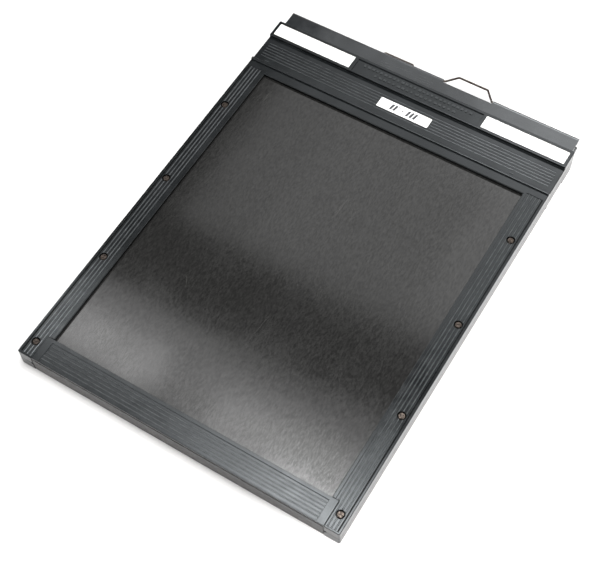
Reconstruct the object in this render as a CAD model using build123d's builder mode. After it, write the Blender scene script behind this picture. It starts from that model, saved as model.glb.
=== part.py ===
from build123d import *

import os

# A sheet film holder: two equal moulded halves round a septum, each with its own film channel, dark slide,
# pull loop and hinged loading flap. Sizes are in millimetres. X runs across the holder, Y from the loading
# flap to the slide handle, and Z up out of the front face, with the rear header on Z = 0.
# "Along" is a distance from the flap end, and "height" a distance in front of the parting plane.

# Outside
half_width = 118.25
body_length = 314.6
rail_face = 7.75  # height of the seating face that meets the camera
rib_start = 274.3
rib_end = 276.5
rib_face = 9.15
grip_face = 7.0
header_start = 299.5
header_face = 9.5
corner_radius = 1.2
edge_radius = 0.5
parting_chamfer = 0.25

# Window and the spaces inside
window_half_width = 102.5
window_end = 267.5
window_chamfer = 0.4
recess_chamfer = 0.3
slide_space_half_width = 107.0
chamber_end = 269.5
lip_under = 5.4  # height of the under side of the window's lip
slot_floor = 4.1
septum_half_width = 109.0
septum_half_thickness = 0.95
septum_start = 0.6
septum_end = 272.0
inside_gap = 0.2

# Fluting
flute_depth = 0.5
flute_pitch = 2.47
flute_width = 1.0
flute_height = 0.22
rail_panel = (105.0, 116.5)
rail_panel_along = (1.5, 269.0)
rail_groove = (115.7, 116.5)
rail_groove_depth = 1.1
rail_flutes = [106.8 + flute_pitch * n for n in range(4)]
grip_flutes = [281.9 + flute_pitch * n for n in range(6)]
grip_flute_half_length = 114.5

# Header furniture
label_across = (52.7, 115.9)
label_along = (301.4, 312.2)
label_recess = 0.3
label_thickness = 0.25
label_corner = 0.5
label_gap = 0.1
panel_half_width = 50.0
panel_along = (300.8, 312.1)
panel_depth = 0.9
tick_height = 0.4
tick_half_length = 0.9
tick_rows = [(308.9, 44, 26), (304.4, 33, 18)]  # along, half the row's width, and how many
sticker_across = (-19.6, 20.7)
sticker_along = (283.3, 291.8)
sticker_thickness = 0.15
nib_places = [(-107.7, 278.7), (88.2, 278.7)]
nib_half_length = 1.5
nib_half_width = 0.35
nib_height = 0.3

# Light trap
trap_along = (302.5, 311.5)
trap_half_width = 106.0
trap_roof = 7.6
trap_gap = 0.2
velvet_along = (303.0, 311.0)
velvet_top = 6.2
velvet_gap = 0.02
spring_along = (303.2, 310.8)
spring_foot = 6.25
spring_crown = 7.5
spring_thickness = 0.25

# Film channel
film_half_width = 102.0
guide_lip = 96.85
guide_outer = 106.8
guide_top = 3.9
guide_bevel = 1.5
guide_along = (19.5, 268.0)
film_roof = 1.4
stop_along = (264.0, 269.4)
stop_half_width = 96.0
stop_foot = 268.6

# Dark slide and its handle
slide_half_width = 106.5
slide_tip = 8.0
slide_under = 4.25
slide_top = 5.25
slide_end = 325.4
tip_radius = 2.0
handle_half_width = 115.65
handle_start = 315.0
leaf_thickness = 0.5
fold_gap = 1.1
fold_end = 325.5
bead_along = 327.9
bead_height = 4.75
bead_radius = 1.2
notch_across = (10.3, 49.6)
notch_start = 326.1

# Pull loop
wire_radius = 0.75
wire_bore_radius = 0.83
wire_bore_depth = 3.5
loop_ends = (7.3, 52.6)
loop_feet = (11.3, 48.6)
loop_bar = (18.6, 41.3)
loop_tip = 336.07
loop_bend = 1.5
rear_loop_lift = 10  # degrees that the rear loop stands off its handle toward the front

# Loading flap
flap_half_width = 107.4
flap_notch_half_width = 107.75
flap_notch_end = 18.5
flap_end = 18.2
flap_step = 7.5
flap_under = 1.1
flap_lip_under = 5.45
flap_panel_half_width = 101.8
flap_panel_along = (1.2, 15.5)
flap_flutes = [3.5 + flute_pitch * n for n in range(5)]
tape_thickness = 0.3
tape_half_width = 107.0
tape_heights = (0.05, 5.5)

# Binding screws
screw_across = 112.2
screw_along = [11.5, 84.5, 157.5, 230.5]
screw_clearance_radius = 1.9
counterbore_radius = 3.0
head_seat = 6.0
head_height = 1.15
head_radius = 2.2
head_chamfer = 0.3
shank_radius = 1.3
shank_end = -4.4
barrel_radius = 1.8
barrel_bore_radius = 1.35
barrel_top = 3.4
barrel_bore_end = -5.0
slot_width = 0.8
slot_depth = 0.5
slot_angles = [25, 70, 140, 105, 60, 155, 15, 95]

mid_height = header_face
flap_end_y = -(loop_tip + wire_radius) / 2
half_turn = Axis((0, 0, mid_height), (0, 1, 0))
screw_places = [(side * screw_across, along) for side in (-1, 1) for along in screw_along]


def level(height):
    """A plane in front of the parting plane, with its origin in the middle of the flap end."""
    return Plane(origin=(0, flap_end_y, mid_height + height))


def section(across):
    """A plane that looks along the holder's width, with distances along it as x and heights as y."""
    return Plane(origin=(across, flap_end_y, mid_height), x_dir=(0, 1, 0), z_dir=(1, 0, 0))


def profile_plane(along):
    """A plane that faces the flap end, with distances across the holder as x and heights as y."""
    return Plane(origin=(0, flap_end_y + along, mid_height), x_dir=(1, 0, 0), z_dir=(0, -1, 0))


def block(across, along, heights, mode=Mode.ADD):
    """Join or cut a plain block between two sides, two ends and two heights."""
    with BuildSketch(level(heights[0]), mode=Mode.PRIVATE) as outline:
        with Locations((sum(across) / 2, sum(along) / 2)):
            Rectangle(across[1] - across[0], along[1] - along[0])
    extrude(outline.sketch, amount=heights[1] - heights[0], mode=mode)


def flutes_across(places, across, base):
    """Low rounded ribs that run across the holder, half sunk in a surface at a height."""
    with BuildSketch(section(across[0]), mode=Mode.PRIVATE) as ribs:
        with Locations(*[(along, base) for along in places]):
            Ellipse(flute_width / 2, flute_height)
    extrude(ribs.sketch, amount=across[1] - across[0])


def flutes_along(places, along, base):
    """Low rounded ribs that run the length of the holder, half sunk in a surface at a height."""
    with BuildSketch(profile_plane(along[1]), mode=Mode.PRIVATE) as ribs:
        with Locations(*[(across, base) for across in places]):
            Ellipse(flute_width / 2, flute_height)
    extrude(ribs.sketch, amount=along[1] - along[0])


def mouth(part, across, along, height):
    """The edges round the mouth of a recess, which lie between two sides and two ends at one height."""
    near = 0.01
    edges = part.edges().filter_by_position(Axis.Z, mid_height + height - near, mid_height + height + near)
    edges = edges.filter_by_position(Axis.X, across[0] - near, across[1] + near)
    return edges.filter_by_position(Axis.Y, flap_end_y + along[0] - near, flap_end_y + along[1] + near)


def write(name, shape):
    shape.label = name
    export_step(shape, f"parts/{name}.step")


def write_pair(name, shape):
    """Write a front piece, and the same piece turned over as the rear one."""
    write("front_" + name, shape)
    write("rear_" + name, shape.rotate(half_turn, 180))


os.makedirs("parts", exist_ok=True)

# Frame: the right half, mirrored. Rail, cross bar and grip first, then the lock rib and the header.
with BuildPart() as frame:
    block((0, half_width), (0, body_length), (0, grip_face))
    block((0, half_width), (0, rib_end), (grip_face, rail_face))
    block((0, half_width), (rib_start, rib_end), (rail_face, rib_face))
    block((0, half_width), (header_start, body_length), (grip_face, header_face))
    corners = frame.edges().filter_by(Axis.Z).group_by(Axis.X)[-1].sort_by(Axis.Y)
    fillet([corners[0], corners[-1]], corner_radius)
    side_edges = frame.edges().filter_by(Axis.Y).group_by(Axis.X)[-1]
    fillet(side_edges.filter_by_position(Axis.Z, mid_height + 1, 2 * mid_height), edge_radius)
    parting_edge = frame.edges().filter_by(Axis.Y).group_by(Axis.X)[-1].group_by(Axis.Z)[0]
    chamfer(parting_edge, parting_chamfer)
    cross_edges = frame.edges().filter_by(Axis.X)
    fillet(cross_edges.filter_by_position(Axis.Z, mid_height + rib_face, mid_height + header_face), edge_radius)

    # Window, film and slide space, septum pocket, slide slot and light trap pocket
    block((0, window_half_width), (0, window_end), (0, rail_face), Mode.SUBTRACT)
    window_side = mouth(frame, (window_half_width, window_half_width), (0, window_end), rail_face)
    window_top = mouth(frame, (0, window_half_width), (window_end, window_end), rail_face)
    chamfer(window_side + window_top, window_chamfer)
    block((0, slide_space_half_width), (0, chamber_end), (0, lip_under), Mode.SUBTRACT)
    block(
        (0, septum_half_width + inside_gap),
        (0, septum_end + inside_gap),
        (0, septum_half_thickness + inside_gap / 4),
        Mode.SUBTRACT,
    )
    block((0, slide_space_half_width), (chamber_end, body_length), (slot_floor, lip_under), Mode.SUBTRACT)
    block((0, trap_half_width), trap_along, (lip_under, trap_roof), Mode.SUBTRACT)

    # Sunk panels with their flutes, the flap's notch, the label recess and the middle panel
    block(rail_panel, rail_panel_along, (rail_face - flute_depth, rail_face), Mode.SUBTRACT)
    block(rail_groove, rail_panel_along, (rail_face - rail_groove_depth, rail_face), Mode.SUBTRACT)
    chamfer(mouth(frame, rail_panel, rail_panel_along, rail_face), recess_chamfer)
    flutes_along(rail_flutes, rail_panel_along, rail_face - flute_depth)
    flutes_across(grip_flutes, (0, grip_flute_half_length), grip_face)
    block((0, flap_notch_half_width), (0, flap_notch_end), (0, rail_face), Mode.SUBTRACT)
    block(label_across, label_along, (header_face - label_recess, header_face), Mode.SUBTRACT)
    block((0, panel_half_width), panel_along, (header_face - panel_depth, header_face), Mode.SUBTRACT)
    chamfer(mouth(frame, (1, panel_half_width), panel_along, header_face), recess_chamfer)
    mirror(about=Plane.YZ)

    # Counterbored holes for the binding screws
    with Locations(level(rail_face)):
        with Locations(*screw_places):
            CounterBoreHole(screw_clearance_radius, counterbore_radius, rail_face - head_seat, 2 * rail_face)

    # Small raised nibs beside the lock rib
    for across, along in nib_places:
        block(
            (across - nib_half_length, across + nib_half_length),
            (along - nib_half_width, along + nib_half_width),
            (grip_face, grip_face + nib_height),
        )

    # Rows of plain ticks in the middle panel, with widths that step round a cycle of four
    panel_floor = header_face - panel_depth
    for along, reach, count in tick_rows:
        pitch = 2 * reach / count
        for n in range(count):
            start = -reach + n * pitch
            width = pitch * (0.45 + 0.08 * (3 * n % 4))
            block(
                (start, start + width),
                (along - tick_half_length, along + tick_half_length),
                (panel_floor, panel_floor + tick_height),
            )
write_pair("frame", frame.part)

with BuildPart() as septum:
    block(
        (-septum_half_width, septum_half_width),
        (septum_start, septum_end),
        (-septum_half_thickness, septum_half_thickness),
    )
write("septum", septum.part)

# Film guide: a channel over the film's long edge
with BuildPart() as film_guide:
    with BuildSketch(profile_plane(guide_along[1])):
        with BuildLine():
            Polyline(
                (film_half_width, septum_half_thickness),
                (guide_outer, septum_half_thickness),
                (guide_outer, guide_top),
                (guide_lip + guide_bevel, guide_top),
                (guide_lip, guide_top - guide_bevel),
                (guide_lip, film_roof),
                (film_half_width, film_roof),
                close=True,
            )
        make_face()
    extrude(amount=guide_along[1] - guide_along[0])
write_pair("right_film_guide", film_guide.part)
write_pair("left_film_guide", film_guide.part.mirror(Plane.YZ))

# Film stop: a bar that the film's far end runs in under, with a foot that stops it
with BuildPart() as film_stop:
    block((-stop_half_width, stop_half_width), stop_along, (film_roof, guide_top))
    block((-stop_half_width, stop_half_width), (stop_foot, stop_along[1]), (septum_half_thickness, film_roof))
write_pair("film_stop", film_stop.part)

# Light trap: a bowed spring strip that presses a velvet pad on the slide
with BuildPart() as light_trap_velvet:
    block(
        (trap_gap - trap_half_width, trap_half_width - trap_gap),
        velvet_along,
        (slide_top + velvet_gap, velvet_top),
    )
write_pair("light_trap_velvet", light_trap_velvet.part)

with BuildPart() as light_trap_spring:
    start, end = spring_along
    middle = (start + end) / 2
    with BuildSketch(section(trap_gap - trap_half_width)):
        with BuildLine():
            ThreePointArc((start, spring_foot), (middle, spring_crown), (end, spring_foot))
            Line((end, spring_foot), (end - spring_thickness, spring_foot))
            ThreePointArc(
                (end - spring_thickness, spring_foot),
                (middle, spring_crown - spring_thickness),
                (start + spring_thickness, spring_foot),
            )
            Line((start + spring_thickness, spring_foot), (start, spring_foot))
        make_face()
    extrude(amount=2 * (trap_half_width - trap_gap))
write_pair("light_trap_spring", light_trap_spring.part)

# Labels on the header and the sticker on the grip
with BuildPart() as label:
    block(
        (label_across[0] + label_gap, label_across[1] - label_gap),
        (label_along[0] + label_gap, label_along[1] - label_gap),
        (header_face - label_recess, header_face - label_recess + label_thickness),
    )
    fillet(label.edges().filter_by(Axis.Z), label_corner)
write_pair("right_label", label.part)
write_pair("left_label", label.part.mirror(Plane.YZ))

with BuildPart() as size_sticker:
    sticker_base = grip_face + flute_height
    block(sticker_across, sticker_along, (sticker_base, sticker_base + sticker_thickness))
    fillet(size_sticker.edges().filter_by(Axis.Z), label_corner)
write_pair("size_sticker", size_sticker.part)

# Dark slide: a thin sheet with rounded corners at its tip
with BuildPart() as dark_slide:
    block((-slide_half_width, slide_half_width), (slide_tip, slide_end), (slide_under, slide_top))
    fillet(dark_slide.edges().filter_by(Axis.Z).group_by(Axis.Y)[0], tip_radius)
write_pair("dark_slide", dark_slide.part)

# Slide handle: a strip folded over the sheet, with a rolled bead that is cut away where the loop swings
with BuildPart() as slide_handle:
    with BuildSketch(section(-handle_half_width)):
        with Locations(((handle_start + bead_along) / 2, bead_height)):
            Rectangle(bead_along - handle_start, fold_gap + 2 * leaf_thickness)
        with Locations(((handle_start + fold_end) / 2, bead_height)):
            Rectangle(fold_end - handle_start, fold_gap, mode=Mode.SUBTRACT)
        with Locations((bead_along, bead_height)):
            Circle(bead_radius)
    extrude(amount=2 * handle_half_width)
    block(notch_across, (notch_start, loop_tip), (0, header_face), Mode.SUBTRACT)
    for start in (notch_across[0] - wire_bore_depth, notch_across[1]):
        with BuildSketch(section(start)):
            with Locations((bead_along, bead_height)):
                Circle(wire_bore_radius)
        extrude(amount=wire_bore_depth, mode=Mode.SUBTRACT)
write_pair("slide_handle", slide_handle.part)

# Pull loop: one wire, bent, with its two ends turned out into the bead
with BuildPart() as pull_loop:
    with BuildLine(level(bead_height)) as route:
        FilletPolyline(
            (loop_ends[0], bead_along),
            (loop_feet[0], bead_along),
            (loop_bar[0], loop_tip),
            (loop_bar[1], loop_tip),
            (loop_feet[1], bead_along),
            (loop_ends[1], bead_along),
            radius=loop_bend,
        )
    with BuildSketch(Plane(origin=route.line @ 0, z_dir=route.line % 0)):
        Circle(wire_radius)
    sweep()
write("front_pull_loop", pull_loop.part)
rear_bead = Axis((0, flap_end_y + bead_along, mid_height - bead_height), (1, 0, 0))
write("rear_pull_loop", pull_loop.part.rotate(half_turn, 180).rotate(rear_bead, rear_loop_lift))

# Loading flap: a deep bar at the hinge, with a lip that reaches over the slide's tip
with BuildPart() as loading_flap:
    block((-flap_half_width, flap_half_width), (tape_thickness, flap_end), (flap_lip_under, rail_face))
    chamfer(loading_flap.edges().group_by(Axis.Z)[-1], parting_chamfer)
    block((-flap_half_width, flap_half_width), (tape_thickness, flap_step), (flap_under, flap_lip_under))
    block(
        (-flap_panel_half_width, flap_panel_half_width),
        flap_panel_along,
        (rail_face - flute_depth, rail_face),
        Mode.SUBTRACT,
    )
    flap_mouth = mouth(
        loading_flap, (-flap_panel_half_width, flap_panel_half_width), flap_panel_along, rail_face
    )
    chamfer(flap_mouth, recess_chamfer)
    flutes_across(
        flap_flutes, (-flap_panel_half_width, flap_panel_half_width), rail_face - flute_depth
    )
write_pair("loading_flap", loading_flap.part)

with BuildPart() as flap_tape:
    block((-tape_half_width, tape_half_width), (0, tape_thickness), tape_heights)
write_pair("flap_tape", flap_tape.part)

# Binding screws from the front, turned into barrels from the rear
with BuildPart() as binding_screws:
    with Locations(level(head_seat)):
        with Locations(*screw_places):
            Cylinder(head_radius, head_height, align=(Align.CENTER, Align.CENTER, Align.MIN))
            Cylinder(shank_radius, head_seat - shank_end, align=(Align.CENTER, Align.CENTER, Align.MAX))
    chamfer(binding_screws.edges().group_by(Axis.Z)[-1], head_chamfer)
    for place, angle in zip(screw_places, slot_angles):
        with Locations(level(head_seat + head_height)):
            with Locations(Location(place, angle)):
                Box(3 * head_radius, slot_width, 2 * slot_depth, mode=Mode.SUBTRACT)
write("binding_screws", binding_screws.part)

with BuildPart() as binding_barrels:
    with Locations(level(-head_seat)):
        with Locations(*screw_places):
            Cylinder(head_radius, head_height, align=(Align.CENTER, Align.CENTER, Align.MAX))
            Cylinder(barrel_radius, head_seat + barrel_top, align=(Align.CENTER, Align.CENTER, Align.MIN))
    chamfer(binding_barrels.edges().group_by(Axis.Z)[0], head_chamfer)
    with Locations(level(barrel_top)):
        with Locations(*screw_places):
            Hole(barrel_bore_radius, barrel_top - barrel_bore_end)
    for place, angle in zip(screw_places, reversed(slot_angles)):
        with Locations(level(-head_seat - head_height)):
            with Locations(Location(place, angle)):
                Box(3 * head_radius, slot_width, 2 * slot_depth, mode=Mode.SUBTRACT)
write("binding_barrels", binding_barrels.part)
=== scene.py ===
import math

import bmesh
import bpy
import numpy as np
from mathutils import Matrix, Vector


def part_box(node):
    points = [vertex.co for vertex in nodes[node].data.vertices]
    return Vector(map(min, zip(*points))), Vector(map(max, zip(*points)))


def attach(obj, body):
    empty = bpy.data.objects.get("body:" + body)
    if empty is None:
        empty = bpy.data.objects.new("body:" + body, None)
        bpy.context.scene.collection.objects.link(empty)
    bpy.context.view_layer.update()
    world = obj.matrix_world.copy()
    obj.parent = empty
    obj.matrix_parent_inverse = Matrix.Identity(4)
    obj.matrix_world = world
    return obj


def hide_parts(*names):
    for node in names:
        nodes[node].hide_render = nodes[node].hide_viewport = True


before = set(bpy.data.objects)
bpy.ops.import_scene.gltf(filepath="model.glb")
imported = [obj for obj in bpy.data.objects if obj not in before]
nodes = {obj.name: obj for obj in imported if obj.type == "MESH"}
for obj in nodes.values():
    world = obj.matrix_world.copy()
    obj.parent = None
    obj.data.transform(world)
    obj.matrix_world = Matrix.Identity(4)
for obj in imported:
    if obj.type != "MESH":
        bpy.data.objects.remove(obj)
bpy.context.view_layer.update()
mm = 0.001  # lengths in the script are metres


def put(tree, kind, feeds=None, **settings):
    # One shader node: settings are its options, feeds are socket values or the sockets wired into it.
    made = tree.nodes.new(kind)
    for key, value in settings.items():
        setattr(made, key, value)
    for socket, value in (feeds or {}).items():
        if isinstance(value, bpy.types.NodeSocket):
            tree.links.new(value, made.inputs[socket])
        else:
            made.inputs[socket].default_value = value
    return made


def place(tree, stretch=(1, 1, 1), turn=0.0):
    # Object coordinates, turned about Z and then stretched, so that a pattern can run along the holder.
    coords = put(tree, "ShaderNodeTexCoord").outputs["Object"]
    turned = put(tree, "ShaderNodeMapping", {"Vector": coords, "Rotation": (0, 0, turn)}).outputs[0]
    return put(tree, "ShaderNodeMapping", {"Vector": turned, "Scale": stretch}).outputs[0]


def cloud(tree, where, scale, detail=3.0, roughness=0.5):
    feeds = {"Vector": where, "Scale": scale, "Detail": detail, "Roughness": roughness}
    return put(tree, "ShaderNodeTexNoise", feeds).outputs[0]


def remap(tree, value, low, high, start=0.0, end=1.0):
    # Moves low..high to start..end with an eased, clamped ramp.
    feeds = {"Value": value, "From Min": low, "From Max": high, "To Min": start, "To Max": end}
    return put(tree, "ShaderNodeMapRange", feeds, interpolation_type="SMOOTHSTEP").outputs[0]


def sums(tree, operation, first, second=0.0, clamp=False):
    return put(tree, "ShaderNodeMath", {0: first, 1: second}, operation=operation, use_clamp=clamp).outputs[0]


def tint(tree, share, first, second):
    # Mixes two colours, each a colour or a socket, by a share from 0 to 1.
    def asColour(value):
        return value if isinstance(value, bpy.types.NodeSocket) else (*value, 1.0)
    feeds = {0: share, 6: asColour(first), 7: asColour(second)}
    return put(tree, "ShaderNodeMix", feeds, data_type="RGBA").outputs[2]


def relief(tree, height, distance, strength=1.0, under=None):
    feeds = {"Height": height, "Distance": distance, "Strength": strength}
    if under is not None:
        feeds["Normal"] = under
    return put(tree, "ShaderNodeBump", feeds).outputs[0]


def edgeMask(tree, radius):
    # 1 on the edges and 0 on the flats: how far a normal rounded over the edges leans from the face's own.
    rounded = put(tree, "ShaderNodeBevel", {"Radius": radius}, samples=8).outputs[0]
    flat = put(tree, "ShaderNodeNewGeometry").outputs["True Normal"]
    along = put(tree, "ShaderNodeVectorMath", {0: rounded, 1: flat}, operation="DOT_PRODUCT").outputs["Value"]
    return remap(tree, along, 0.995, 0.80)


def heightBands(tree, look):
    # 1 where the distance from the middle of the holder's thickness lies in one of the bands, for points
    # inside the limits in x and y. Each band is its lowest and highest distance, its least y and its strength.
    spot = put(tree, "ShaderNodeSeparateXYZ", {0: put(tree, "ShaderNodeTexCoord").outputs["Object"]}).outputs
    height = sums(tree, "ABSOLUTE", sums(tree, "SUBTRACT", spot[2], look["middle"]))
    inside = remap(tree, sums(tree, "ABSOLUTE", spot[0]), look["reach"] + 0.2 * mm, look["reach"])
    found = 0.0
    for low, high, start, strength in look["bands"]:
        band = sums(tree, "MULTIPLY", remap(tree, height, low, low + look["soft"]), inside)
        band = sums(tree, "MULTIPLY", band, remap(tree, height, high + look["soft"], high, 0.0, strength))
        band = sums(tree, "MULTIPLY", band, remap(tree, spot[1], start - 1.0 * mm, start))
        found = sums(tree, "MAXIMUM", found, band)
    return found


def specks(tree, where, cells, size, share):
    # Dust: a dot in a share of the cells of a Voronoi pattern, with a radius of size cells.
    dots = put(tree, "ShaderNodeTexVoronoi", {"Vector": where, "Scale": cells, "Randomness": 1.0})
    chosen = remap(tree, put(tree, "ShaderNodeSeparateColor", {0: dots.outputs["Color"]}).outputs[0],
                   1 - share, 1 - share + 0.02)
    return sums(tree, "MULTIPLY", remap(tree, dots.outputs["Distance"], size, size * 0.5), chosen)


def hairlines(tree, where, across, width, cover, turn=0.0):
    # Straight scratches: thin contour lines of a cloud that hardly changes along Y, in lengths cut by a
    # second cloud. Width is a difference of level, a higher cover shows fewer lines, turn is in radians.
    level = cloud(tree, place(tree, (across, 0.9, across), turn), 1.0, 1.0, 0.4)
    level = sums(tree, "ABSOLUTE", sums(tree, "SUBTRACT", level, 0.5))
    shown = remap(tree, cloud(tree, where, 42, 2.0), cover, cover + 0.06)
    return sums(tree, "MULTIPLY", remap(tree, level, width, width * 0.2), shown)


def newFinish(name):
    material = bpy.data.materials.new(name)
    material.use_nodes = True
    tree = material.node_tree
    return material, tree, tree.nodes["Principled BSDF"]


def wire(tree, shader, feeds):
    for socket, value in feeds.items():
        if isinstance(value, bpy.types.NodeSocket):
            tree.links.new(value, shader.inputs[socket])
        else:
            shader.inputs[socket].default_value = value


def gridPiece(name, grids, wrap=True, caps=True):
    # Quads over each grid[row, column, xyz]: wrap joins the last column to the first, caps close the ends.
    points, faces, start = [], [], 0
    for grid in grids:
        rows, columns = grid.shape[:2]
        number = start + np.arange(rows * columns).reshape(rows, columns)
        ring = np.concatenate([number, number[:, :1]], axis=1) if wrap else number
        quads = np.stack([ring[:-1, :-1], ring[:-1, 1:], ring[1:, 1:], ring[1:, :-1]], axis=-1)
        faces += quads.reshape(-1, 4).tolist()
        if caps:
            faces += [number[0, ::-1].tolist(), number[-1].tolist()]
        points.append(grid.reshape(-1, 3))
        start += rows * columns
    mesh = bpy.data.meshes.new(name)
    mesh.from_pydata(np.concatenate(points).tolist(), [], faces)
    if caps:
        closed = bmesh.new()
        closed.from_mesh(mesh)
        bmesh.ops.recalc_face_normals(closed, faces=closed.faces)
        closed.to_mesh(mesh)
        closed.free()
    piece = bpy.data.objects.new(name, mesh)
    bpy.context.scene.collection.objects.link(piece)
    return piece


def bulge(angle, power):
    # The two halves of a superellipse: cosine and sine, each raised to a power and keeping its sign.
    cosine, sine = np.cos(angle), np.sin(angle)
    return np.sign(cosine) * np.abs(cosine) ** power, np.sign(sine) * np.abs(sine) ** power


def turnedOver(points, middle):
    # Half a turn about the holder's long middle axis, which takes a front piece to its rear one.
    return np.stack([-points[..., 0], points[..., 1], 2 * middle - points[..., 2]], axis=-1)


crestHighlightLook = {  # painted highlights on the tops of the ribs on the rails, flaps and grip, and lighter tops on the panel's marks
    "middle": 9.5 * mm,
    "reach": 118.0 * mm,
    "soft": 0.05 * mm,
    "bands": [
        (7.38 * mm, 7.50 * mm, -1.0, 0.80),
        (8.88 * mm, 9.03 * mm, -1.0, 0.32),
        (7.13 * mm, 7.28 * mm, 0.1085, 0.50),
    ],
}

grooveShadeLook = {  # painted shade: a darker colour and a dimmer reflection on the floors of the screw holes and of the grooves beside the rails, and on the window's wall
    "middle": 9.5 * mm,
    "reach": 116.9 * mm,
    "soft": 0.25 * mm,
    "bands": [(5.40 * mm, 6.70 * mm, -0.1662, 1.0)],
}

mouldedLook = {
    "deep": (0.0034, 0.0040, 0.0043),
    "pale": (0.0066, 0.0075, 0.0080),
    # worn also colours the painted highlights along the tops of the ribs
    "worn": (0.056, 0.060, 0.061),
    # the colour of the painted shade in the grooves, screw holes and window walls
    "shade": (0.0012, 0.0012, 0.0012),
    "dust": (0.30, 0.30, 0.29),
    "glossTint": (0.92, 0.97, 1.0),
    # the dimmed reflection tint of that painted shade
    "paintedShadeGlossTint": (0.12, 0.12, 0.12),
    "gloss": 0.40,  # how strongly it mirrors
    "roughness": (0.13, 0.20),
    "edgeRadius": 0.20 * mm,
    "patchCells": 45,  # cells per metre, like every value whose name ends in Cells
    "rubbedCells": 240,
    "sheenCells": 130,
    "grainCells": 2600,
    "grainDepth": 0.003 * mm,
    "rippleCells": 70,
    "rippleDepth": 0.02 * mm,
    "scratches": (220, 0.002, 0.60, 0.5),  # cells per metre across, width, cover and turn
    "scratchDepth": 0.002 * mm,
    "dustSpots": (330, 0.070, 0.05),  # cells per metre, radius in cells and share of the cells
}


def mouldedPlastic():
    look = mouldedLook
    material, tree, shader = newFinish("mouldedPlastic")
    where = place(tree)
    edges = edgeMask(tree, look["edgeRadius"])
    patches = cloud(tree, where, look["patchCells"], 4.0, 0.6)
    grain = cloud(tree, where, look["grainCells"], 2.0)
    ripple = cloud(tree, where, look["rippleCells"], 1.0, 0.4)
    # rubbed: edge wear, together with painted highlights along the tops of the ribs and lighter tops on the
    # panel's marks
    rubbed = sums(tree, "MAXIMUM", sums(tree, "MULTIPLY", edges, 0.8), heightBands(tree, crestHighlightLook))
    uneven = remap(tree, cloud(tree, where, look["rubbedCells"], 4.0, 0.6), 0.32, 0.62, 0.5, 1.0)
    rubbed = sums(tree, "MULTIPLY", rubbed, uneven)
    lines = hairlines(tree, where, *look["scratches"])
    fluff = specks(tree, where, *look["dustSpots"])
    body = tint(tree, remap(tree, patches, 0.35, 0.68), look["deep"], look["pale"])
    body = tint(tree, rubbed, body, look["worn"])
    body = tint(tree, sums(tree, "MULTIPLY", lines, 0.25), body, look["worn"])
    body = tint(tree, sums(tree, "MULTIPLY", fluff, 0.25), body, look["dust"])
    # painted shade: the grooves, screw-hole floors and window walls are darkened and their reflection dimmed
    paintedShade = heightBands(tree, grooveShadeLook)
    body = tint(tree, paintedShade, body, look["shade"])
    low, high = look["roughness"]
    sheen = remap(tree, cloud(tree, where, look["sheenCells"], 5.0, 0.6), 0.36, 0.66, low, high)
    sheen = sums(tree, "ADD", sheen, sums(tree, "MULTIPLY", fluff, 0.4), clamp=True)
    shape = relief(tree, ripple, look["rippleDepth"], 0.6)
    shape = relief(tree, grain, look["grainDepth"], 0.5, shape)
    shape = relief(tree, lines, look["scratchDepth"], 0.4, shape)
    wire(tree, shader, {"Base Color": body, "Roughness": sheen, "Normal": shape,
                        "Specular IOR Level": look["gloss"],
                        "Specular Tint": tint(tree, paintedShade, look["glossTint"], look["paintedShadeGlossTint"])})
    return material


laminateLook = {
    "deep": (0.0062, 0.0061, 0.0058),
    "pale": (0.0135, 0.0132, 0.0124),
    "scratch": (0.13, 0.13, 0.12),
    "dust": (0.55, 0.55, 0.53),
    "streak": (1400, 340, 1400),  # cells per metre across, along and through the sheet
    "gloss": 0.59,  # how strongly it mirrors
    "dimTint": (0.69, 0.69, 0.69),  # the mirror tint of the dull streaks
    "roughness": (0.085, 0.125),
    "streakDepth": 0.00015 * mm,
    "fineStreak": (4200, 700, 4200),
    "fineDepth": 0.0001 * mm,
    "blotchCells": 34,
    "bowCells": 5.5,
    "bowDepth": 0.10 * mm,
    "scratches": (260, 0.0022, 0.59, 0.05),  # cells per metre across, width, cover and turn
    "crossScratches": (70, 0.0009, 0.62, -0.6),
    "scratchDepth": 0.0005 * mm,
    "dustSpots": (110, 0.020, 0.07),  # cells per metre, radius in cells and share of the cells
}


def blackLaminate():
    look = laminateLook
    material, tree, shader = newFinish("blackLaminate")
    where = place(tree)
    streaks = cloud(tree, place(tree, look["streak"]), 1.0, 4.0, 0.62)
    fine = cloud(tree, place(tree, look["fineStreak"]), 1.0, 2.0)
    blotches = cloud(tree, where, look["blotchCells"], 3.0, 0.5)
    bow = cloud(tree, where, look["bowCells"], 1.0, 0.3)
    lines = hairlines(tree, where, *look["scratches"])
    cross = hairlines(tree, where, *look["crossScratches"])
    scratches = sums(tree, "MAXIMUM", lines, cross)
    fluff = specks(tree, where, *look["dustSpots"])
    body = tint(tree, remap(tree, streaks, 0.30, 0.72), look["deep"], look["pale"])
    body = tint(tree, sums(tree, "MULTIPLY", scratches, 0.22), body, look["scratch"])
    body = tint(tree, fluff, body, look["dust"])
    low, high = look["roughness"]
    sheen = sums(tree, "ADD", sums(tree, "MULTIPLY", streaks, 0.5), sums(tree, "MULTIPLY", blotches, 0.5))
    sheen = remap(tree, sheen, 0.38, 0.62, low, high)
    sheen = sums(tree, "ADD", sheen, sums(tree, "MULTIPLY", fluff, 0.4), clamp=True)
    shape = relief(tree, bow, look["bowDepth"], 1.0)
    shape = relief(tree, streaks, look["streakDepth"], 0.7, shape)
    shape = relief(tree, fine, look["fineDepth"], 0.4, shape)
    shape = relief(tree, scratches, look["scratchDepth"], 0.4, shape)
    mirrorTint = tint(tree, remap(tree, streaks, 0.3, 0.7), look["dimTint"], (1, 1, 1))
    wire(tree, shader, {"Base Color": body, "Roughness": sheen, "Normal": shape,
                        "Specular IOR Level": look["gloss"], "Specular Tint": mirrorTint})
    return material


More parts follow.
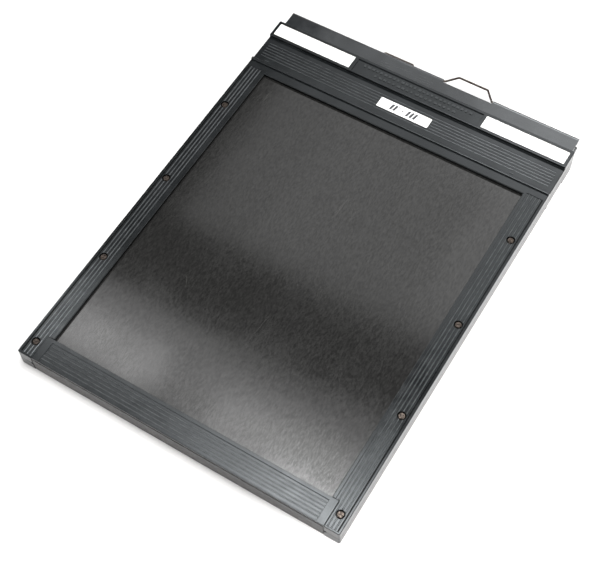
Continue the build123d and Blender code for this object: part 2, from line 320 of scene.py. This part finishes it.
lacquerLook = {
    "deep": (0.0085, 0.0095, 0.0102),
    "pale": (0.0150, 0.0162, 0.0172),
    "bare": (0.34, 0.34, 0.33),
    "roughness": (0.07, 0.13),
    "edgeRadius": 0.15 * mm,
    "chipCells": 420,
    "chipDepth": 0.02 * mm,
    "shadeCells": 70,
    "sheenCells": 260,
    "peelCells": 1100,
    "peelDepth": 0.001 * mm,
    "scratches": (200, 0.002, 0.60, 1.5),  # cells per metre across, width, cover and turn
    "coat": (0.25, 0.12),  # weight and roughness
    "glossTint": (0.93, 0.97, 1.0, 1.0),
}


def lacqueredMetal():
    look = lacquerLook
    material, tree, shader = newFinish("lacqueredMetal")
    where = place(tree)
    edges = edgeMask(tree, look["edgeRadius"])
    chips = remap(tree, cloud(tree, where, look["chipCells"], 5.0, 0.7), 0.60, 0.64)
    chips = sums(tree, "MULTIPLY", edges, chips)
    lines = hairlines(tree, where, *look["scratches"])
    peel = cloud(tree, where, look["peelCells"], 1.0, 0.45)
    shade = remap(tree, cloud(tree, where, look["shadeCells"], 4.0), 0.35, 0.65)
    body = tint(tree, shade, look["deep"], look["pale"])
    body = tint(tree, sums(tree, "MULTIPLY", lines, 0.4), body, look["bare"])
    body = tint(tree, chips, body, look["bare"])
    low, high = look["roughness"]
    sheen = remap(tree, cloud(tree, where, look["sheenCells"], 4.0), 0.38, 0.64, low, high)
    shape = relief(tree, peel, look["peelDepth"], 0.5)
    shape = relief(tree, chips, look["chipDepth"], 0.5, shape)
    coat, coatRoughness = look["coat"]
    wire(tree, shader, {"Base Color": body, "Roughness": sheen, "Normal": shape, "Metallic": chips,
                        "Coat Weight": coat, "Coat Roughness": coatRoughness,
                        "Specular Tint": look["glossTint"]})
    return material


wireLook = {
    "steel": (0.060, 0.050, 0.044),
    "brown": (0.022, 0.013, 0.010),
    "roughness": (0.28, 0.55),
    "metallic": 0.85,
    "rustCells": 480,
    "rustDepth": 0.015 * mm,
    "drawn": (400, 3800, 3800),  # cells per metre of the lines along the wire
    "drawnDepth": 0.008 * mm,
}


def darkWire():
    look = wireLook
    material, tree, shader = newFinish("darkWire")
    where = place(tree)
    rust = remap(tree, cloud(tree, where, look["rustCells"], 5.0, 0.65), 0.40, 0.60)
    drawn = cloud(tree, place(tree, look["drawn"]), 1.0, 2.0)
    body = tint(tree, rust, look["steel"], look["brown"])
    low, high = look["roughness"]
    shape = relief(tree, drawn, look["drawnDepth"], 0.5)
    shape = relief(tree, rust, look["rustDepth"], 0.5, shape)
    wire(tree, shader, {"Base Color": body, "Metallic": look["metallic"], "Normal": shape,
                        "Roughness": remap(tree, rust, 0.0, 1.0, low, high)})
    return material


tapeLook = {
    "deep": (0.016, 0.0155, 0.015),
    "pale": (0.038, 0.036, 0.034),
    "roughness": (0.34, 0.52),
    "puckers": (220, 60, 1400),  # cells per metre
    "puckerDepth": 0.06 * mm,
    "rubbedCells": 300,
    "grainCells": 3000,
    "grainDepth": 0.01 * mm,
}


def vinylTape():
    look = tapeLook
    material, tree, shader = newFinish("vinylTape")
    where = place(tree)
    puckers = cloud(tree, place(tree, look["puckers"]), 1.0, 3.0, 0.55)
    rubbed = remap(tree, cloud(tree, where, look["rubbedCells"], 5.0, 0.7), 0.50, 0.70)
    low, high = look["roughness"]
    shape = relief(tree, puckers, look["puckerDepth"], 0.6)
    shape = relief(tree, cloud(tree, where, look["grainCells"], 1.0), look["grainDepth"], 0.5, shape)
    wire(tree, shader, {"Base Color": tint(tree, rubbed, look["deep"], look["pale"]), "Normal": shape,
                        "Roughness": remap(tree, puckers, 0.35, 0.65, low, high)})
    return material


velvetLook = {
    "deep": (0.0030, 0.0030, 0.0034),
    "pale": (0.0130, 0.0125, 0.0130),
    "tuftCells": 3600,
    "tuftDepth": 0.12 * mm,
    "laid": (260, 700, 700),  # cells per metre of the patches where the pile lies over
    "roughness": (0.82, 0.96),
    "sheen": (0.7, 0.45),  # weight and roughness
    "sheenTint": (0.5, 0.5, 0.52, 1.0),
}


def velvetPile():
    look = velvetLook
    material, tree, shader = newFinish("velvetPile")
    where = place(tree)
    tufts = put(tree, "ShaderNodeTexVoronoi", {"Vector": where, "Scale": look["tuftCells"]})
    laid = cloud(tree, place(tree, look["laid"]), 1.0, 3.0)
    shape = relief(tree, tufts.outputs["Distance"], look["tuftDepth"], 0.9)
    low, high = look["roughness"]
    sheen, sheenRoughness = look["sheen"]
    wire(tree, shader, {"Base Color": tint(tree, remap(tree, laid, 0.35, 0.65), look["deep"], look["pale"]),
                        "Roughness": remap(tree, laid, 0.3, 0.7, low, high), "Normal": shape,
                        "Sheen Weight": sheen, "Sheen Roughness": sheenRoughness,
                        "Sheen Tint": look["sheenTint"]})
    return material


metalLooks = {
    "springSteel": {
        "clean": (0.42, 0.41, 0.39),
        "stained": (0.20, 0.16, 0.12),
        "brush": (90, 2600, 2600),  # cells per metre of the brushed lines
        "spots": 300,
        "roughness": (0.24, 0.42),
        "depth": 0.004 * mm,
    },
    "anodisedSheet": {
        "clean": (0.285, 0.29, 0.295),
        "stained": (0.250, 0.252, 0.256),
        "brush": (2400, 60, 2400),
        "spots": 60,
        "roughness": (0.34, 0.50),
        "depth": 0.004 * mm,
    },
    "brassScrew": {
        "clean": (0.095, 0.078, 0.066),
        "stained": (0.022, 0.018, 0.016),
        "brush": (2600, 2600, 900),
        "spots": 900,
        "roughness": (0.26, 0.50),
        "depth": 0.010 * mm,
    },
}


def brushedMetal(name):
    look = metalLooks[name]
    material, tree, shader = newFinish(name)
    where = place(tree)
    edges = edgeMask(tree, 0.12 * mm)
    stain = remap(tree, cloud(tree, where, look["spots"], 5.0, 0.65), 0.38, 0.60)
    stain = sums(tree, "MULTIPLY", stain, sums(tree, "SUBTRACT", 1.0, sums(tree, "MULTIPLY", edges, 0.7)))
    brushed = cloud(tree, place(tree, look["brush"]), 1.0, 3.0, 0.6)
    low, high = look["roughness"]
    rough = sums(tree, "ADD", sums(tree, "MULTIPLY", stain, 0.6), sums(tree, "MULTIPLY", brushed, 0.4))
    shape = relief(tree, brushed, look["depth"], 0.6)
    wire(tree, shader, {"Base Color": tint(tree, stain, look["clean"], look["stained"]), "Metallic": 0.95,
                        "Roughness": remap(tree, rough, 0.1, 0.9, low, high), "Normal": shape})
    return material


paperLook = {
    "clean": (0.80, 0.80, 0.785),
    "aged": (0.70, 0.69, 0.655),
    "grime": (0.34, 0.33, 0.31),
    "roughness": (0.46, 0.62),
    "edgeRadius": 0.35 * mm,
    "fibres": (1500, 5200, 5200),  # cells per metre
    "fibreTurn": 0.4,
    "fibreDepth": 0.012 * mm,
    "agedCells": 85,
    "grimeCells": 500,
    "scratches": (160, 0.002, 0.60, 1.2),  # cells per metre across, width, cover and turn
}


def labelPaper():
    look = paperLook
    material, tree, shader = newFinish("labelPaper")
    where = place(tree)
    edges = edgeMask(tree, look["edgeRadius"])
    fibres = cloud(tree, place(tree, look["fibres"], look["fibreTurn"]), 1.0, 4.0, 0.6)
    aged = remap(tree, cloud(tree, where, look["agedCells"], 4.0, 0.6), 0.45, 0.68)
    grime = remap(tree, cloud(tree, where, look["grimeCells"], 4.0, 0.6), 0.42, 0.66)
    grime = sums(tree, "MULTIPLY", edges, grime)
    lines = hairlines(tree, where, *look["scratches"])
    body = tint(tree, aged, look["clean"], look["aged"])
    body = tint(tree, sums(tree, "MULTIPLY", fibres, 0.10), body, look["aged"])
    body = tint(tree, sums(tree, "MULTIPLY", grime, 0.55), body, look["grime"])
    body = tint(tree, sums(tree, "MULTIPLY", lines, 0.25), body, look["grime"])
    low, high = look["roughness"]
    shape = relief(tree, fibres, look["fibreDepth"], 0.5)
    wire(tree, shader, {"Base Color": body, "Roughness": remap(tree, fibres, 0.35, 0.65, low, high),
                        "Normal": shape})
    return material


inkLook = {
    "dense": (0.010, 0.010, 0.013),
    "thin": (0.050, 0.050, 0.058),
    "wornCells": 1900,
    "roughness": (0.38, 0.55),
    "depth": 0.006 * mm,
}


def printedInk():
    look = inkLook
    material, tree, shader = newFinish("printedInk")
    where = place(tree)
    worn = cloud(tree, where, look["wornCells"], 4.0, 0.6)
    low, high = look["roughness"]
    wire(tree, shader, {"Base Color": tint(tree, remap(tree, worn, 0.40, 0.66), look["dense"], look["thin"]),
                        "Roughness": remap(tree, worn, 0.35, 0.65, low, high),
                        "Normal": relief(tree, worn, look["depth"], 0.5)})
    return material


moulded = mouldedPlastic()
screwMetal = brushedMetal("brassScrew")
paper = labelPaper()
finishes = {  # the end of a node's name, and its finish
    "frame": moulded,
    "loading_flap": moulded,
    "film_guide": moulded,
    "film_stop": moulded,
    "dark_slide": blackLaminate(),
    "slide_handle": lacqueredMetal(),
    "pull_loop": darkWire(),
    "flap_tape": vinylTape(),
    "light_trap_velvet": velvetPile(),
    "light_trap_spring": brushedMetal("springSteel"),
    "septum": brushedMetal("anodisedSheet"),
    "binding_screws": screwMetal,
    "binding_barrels": screwMetal,
    "label": paper,
    "size_sticker": paper,
}
for name, node in nodes.items():
    ending = next(ending for ending in finishes if name.endswith(ending))
    node.data.materials.clear()
    node.data.materials.append(finishes[ending])
print("finishes given to", len(nodes), "CAD nodes")


middleHeight = sum(corner.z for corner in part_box("septum")) / 2

padLook = {
    "endPower": 0.04,  # how square the pad's two ends are
    "sectionPower": 0.34,  # how square its section is
    "rows": 90,
    "columns": 40,
    "pile": 0.03 * mm,
    "ridges": 620,  # pile rows per metre
    "waves": 900,  # radians per metre across the rows
    "endAngle": 0.499 * math.pi,  # t stops just short of a quarter turn, so that the ends keep some size
}


def velvetPad(side):
    # A long crowned pad: x = half length * sine of t to a small power, the section shrinks as cosine of t to
    # that power, and each section is a superellipse. Low waves of pile shift its surface up and down.
    low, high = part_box(side + "_light_trap_velvet")
    centre, half = np.array((low + high) / 2), np.array((high - low) / 2)
    half[2] -= padLook["pile"]
    t = np.linspace(-padLook["endAngle"], padLook["endAngle"], padLook["rows"])[:, None]
    u = np.linspace(0, 2 * math.pi, padLook["columns"], endpoint=False)[None, :]
    shrink, run = bulge(t, padLook["endPower"])
    across, up = bulge(u, padLook["sectionPower"])
    x = half[0] * run + 0 * u
    y = half[1] * shrink * across
    z = half[2] * shrink * up
    pile = np.sin(padLook["ridges"] * 2 * math.pi * x) * np.cos(padLook["waves"] * y)
    z = z + padLook["pile"] * pile * shrink
    pad = gridPiece(side + "_velvet_pad", [np.stack([x, y, z], axis=-1) + centre])
    pad.data.materials.append(finishes["light_trap_velvet"])
    pad.data.polygons.foreach_set("use_smooth", np.ones(len(pad.data.polygons), bool))
    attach(pad, "holder")
    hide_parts(side + "_light_trap_velvet")


markLook = {
    "bars": [-9.6, -7.0, 3.1, 5.9, 8.7],  # middles across, in millimetres from the middle of the sticker
    "barSize": (1.75 * mm, 5.2 * mm),
    "dots": [-4.9, -3.7, 10.9, 11.9],
    "dotSize": (0.5 * mm, 1.5 * mm),
    "dotLift": 1.8 * mm,  # the dots stand level with the tops of the bars
    "dash": (-1.2, 1.3 * mm, 1.1 * mm),  # its middle across, in millimetres, then its size
    "lean": 0.22,
    "thickness": 0.02 * mm,
    "power": 0.3,  # how square the outline is
    "rims": [(1.0, 0.0), (1.0, 0.7), (0.94, 1.0)],  # share of the size, and share of the thickness
    "columns": 24,
}


def inkMark(middle, size):
    # A flat leaning slab: its outline is a superellipse of the given size, and x leans with y. Its rows are
    # the bottom rim, the top rim and a slightly smaller top.
    angle = np.linspace(0, 2 * math.pi, markLook["columns"], endpoint=False)
    across, along = bulge(angle, markLook["power"])
    y = along * size[1] / 2
    x = across * size[0] / 2 + markLook["lean"] * y
    thick = markLook["thickness"]
    rows = [np.stack([x * share, y * share, 0 * x + lift * thick], axis=-1)
            for share, lift in markLook["rims"]]
    return np.array(rows) + middle


def stickerMarks():
    low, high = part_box("front_size_sticker")
    middle = np.array([(low.x + high.x) / 2, (low.y + high.y) / 2, high.z])
    look = markLook
    grids = [inkMark(middle + (x * mm, 0, 0), look["barSize"]) for x in look["bars"]]
    grids += [inkMark(middle + (x * mm, look["dotLift"], 0), look["dotSize"]) for x in look["dots"]]
    dash = look["dash"]
    grids.append(inkMark(middle + (dash[0] * mm, 0, 0), dash[1:]))
    rear = [turnedOver(grid, middleHeight) for grid in grids]
    for side, shapes in (("front", grids), ("rear", rear)):
        marks = gridPiece(side + "_sticker_marks", shapes)
        marks.data.materials.append(ink)
        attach(marks, "holder")


ink = printedInk()
for side in ("front", "rear"):
    velvetPad(side)
stickerMarks()
print("velvet pads and sticker marks made")


floorLook = {
    "half": 4.0,
    "steps": 120,
    "flat": 1.6,  # radius of the level part
    "rise": 1.5,  # how high the far wall curves up
    "pale": (0.60, 0.595, 0.59),
    "warm": (0.58, 0.573, 0.566),
    "glow": 0.95,  # the light that the floor gives off away from the holder
    "dimEdge": (0.120, 0.170),  # half the size in x and y of the dim part under the holder
    "dimReach": 0.05,  # over how far the glow comes up around that part
    "sunnyFrom": (0.04, 0.17),  # the span in x over which the glow comes up on the brighter side
    "glowTint": (1.0, 0.99, 0.98, 1.0),
    "roughness": 0.75,
    "shadeCells": 3.0,
    "headerDepth": 15.1 * mm,
    "sink": 0.02 * mm,
}


def floorSurface():
    # A sheet of points (x, y): its height is the plane that touches the rear header's inner edge and the far
    # ends of the rear rails, plus an eased rise beyond the flat radius. The floor glows, but
    # less under the holder and close around it, and on the brighter side the glow comes up sooner.
    look = floorLook
    frameLow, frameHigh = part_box("rear_frame")
    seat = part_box("rear_loading_flap")[0].z
    start, end = frameLow.y, frameHigh.y - look["headerDepth"]
    steps = np.linspace(-look["half"], look["half"], look["steps"])
    x, y = np.meshgrid(steps, steps, indexing="ij")
    plane = seat * (end - y) / (end - start) - look["sink"]
    away = np.clip((np.hypot(x, y) - look["flat"]) / (look["half"] - look["flat"]), 0, 1)
    z = plane + look["rise"] * away ** 2 * (3 - 2 * away)
    floor = gridPiece("floor", [np.stack([x, y, z], axis=-1)], wrap=False, caps=False)
    floor.data.polygons.foreach_set("use_smooth", np.ones(len(floor.data.polygons), bool))
    material, tree, shader = newFinish("paleFloor")
    shade = remap(tree, cloud(tree, place(tree), look["shadeCells"], 2.0), 0.3, 0.7)
    spot = put(tree, "ShaderNodeSeparateXYZ", {0: put(tree, "ShaderNodeTexCoord").outputs["Object"]}).outputs
    beside, beyond = (sums(tree, "SUBTRACT", sums(tree, "ABSOLUTE", spot[axis]), look["dimEdge"][axis])
                      for axis in (0, 1))
    clear = remap(tree, sums(tree, "MAXIMUM", beside, beyond), 0.0, look["dimReach"], 0.0, look["glow"])
    sunny = remap(tree, spot[0], *look["sunnyFrom"], 0.0, look["glow"])
    wire(tree, shader, {"Base Color": tint(tree, shade, look["pale"], look["warm"]),
                        "Roughness": look["roughness"], "Emission Color": look["glowTint"],
                        "Emission Strength": sums(tree, "MAXIMUM", clear, sunny)})
    floor.data.materials.append(material)


lightPanels = [  # soft boxes overhead that overlap: radiance, then their spans in x and y in metres
    (1.5, (-0.55, 0.70), (-1.00, 0.50)),
    (1.2, (-0.55, 0.70), (-0.90, 0.45)),
    (2.3, (-1.10, -0.55), (0.32, 0.50)),
    (3.4, (-1.10, -0.62), (0.32, 0.43)),
    (2.8, (-0.50, 0.60), (-0.50, 0.42)),
    (10.5, (-0.34, 0.50), (-0.40, 0.34)),
    (1.2, (-0.82, 0.60), (0.72, 1.70)),
    (0.25, (-0.66, 0.60), (0.72, 1.60)),
    (0.6, (-0.28, 0.60), (0.78, 1.50)),
    (1.4, (-0.42, 0.60), (1.18, 1.90)),
]
panelHeight = 1.5
panelGap = 0.01
roomShade = (0.20, 0.20, 0.205)


def hangLights():
    for number, (radiance, across, along) in enumerate(lightPanels):
        lamp = bpy.data.lights.new(f"panel{number}", "AREA")
        lamp.shape = "RECTANGLE"
        lamp.size, lamp.size_y = across[1] - across[0], along[1] - along[0]
        lamp.energy = radiance * math.pi * lamp.size * lamp.size_y
        hung = bpy.data.objects.new(lamp.name, lamp)
        hung.location = (sum(across) / 2, sum(along) / 2, panelHeight + number * panelGap)
        bpy.context.scene.collection.objects.link(hung)
    world = bpy.data.worlds.new("room")
    world.use_nodes = True
    world.node_tree.nodes["Background"].inputs["Color"].default_value = (*roomShade, 1.0)
    bpy.context.scene.world = world


cameraLook = {
    "azimuth": 34.739,  # degrees; 0 looks along the holder from its flap end
    "elevation": 59.597,
    "roll": -3.732,
    "distance": 0.83808,
    "aim": (0.00478, -0.02801, 0.00175),
    "lens": 76.151,
    "sensor": 36.0,
}


def setCamera():
    look = cameraLook
    azimuth, elevation, roll = (math.radians(look[key]) for key in ("azimuth", "elevation", "roll"))
    back = Vector((math.sin(azimuth) * math.cos(elevation), -math.cos(azimuth) * math.cos(elevation),
                   math.sin(elevation)))
    right = Vector((0, 0, 1)).cross(back).normalized()
    up = back.cross(right)
    right, up = (math.cos(roll) * right + math.sin(roll) * up, math.cos(roll) * up - math.sin(roll) * right)
    data = bpy.data.cameras.new("camera")
    data.lens, data.sensor_width = look["lens"], look["sensor"]
    data.clip_start, data.clip_end = 0.01, 50
    camera = bpy.data.objects.new("camera", data)
    spot = Vector(look["aim"]) + back * look["distance"]
    camera.matrix_world = Matrix.Translation(spot) @ Matrix((right, up, back)).transposed().to_4x4()
    bpy.context.scene.collection.objects.link(camera)
    bpy.context.scene.camera = camera


floorSurface()
hangLights()
setCamera()
bpy.context.scene.view_settings.view_transform = "Standard"
print("floor, lights and camera set")
